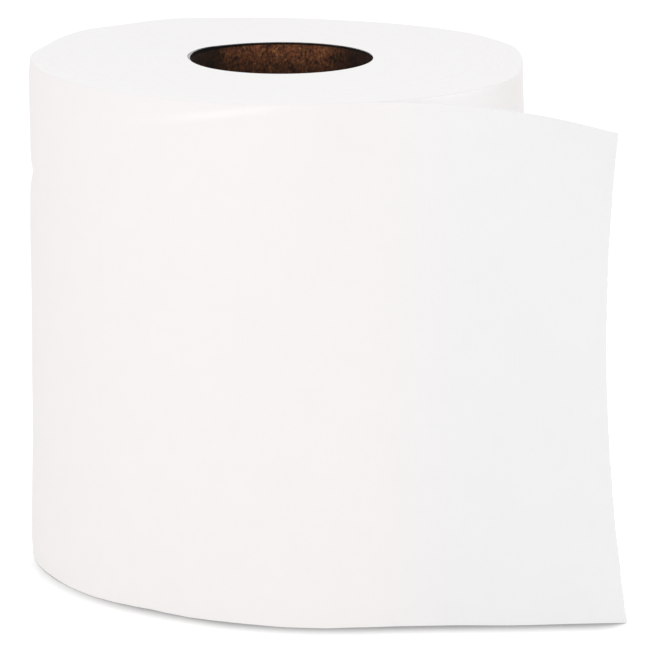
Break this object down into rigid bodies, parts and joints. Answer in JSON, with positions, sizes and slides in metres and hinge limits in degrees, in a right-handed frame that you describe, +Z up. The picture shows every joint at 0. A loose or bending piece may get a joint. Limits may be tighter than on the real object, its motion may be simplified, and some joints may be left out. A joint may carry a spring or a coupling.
{
  "type": "toilet paper roll",
  "caption": "Wound roll of soft white paper on a board tube, standing on end, with its outer sheet come loose and curled forward at the upper corner.",
  "frame": {"origin": "on the axis of the board tube at the roll's foot, where it stands", "axes": "+Z up along the tube's axis, -Y to the front, the loose sheet runs to the right along +X"},
  "size_m": [0.1331, 0.1211, 0.114],
  "materials": {
    "paper": "soft matt white tissue, fine creping across the sheet",
    "board": "matt recycled brown board, mottled fibres, spiral seam"
  },
  "bodies": {
    "root": {"paper_web": "paper", "core_tube": "board"}
  },
  "joints": []
}
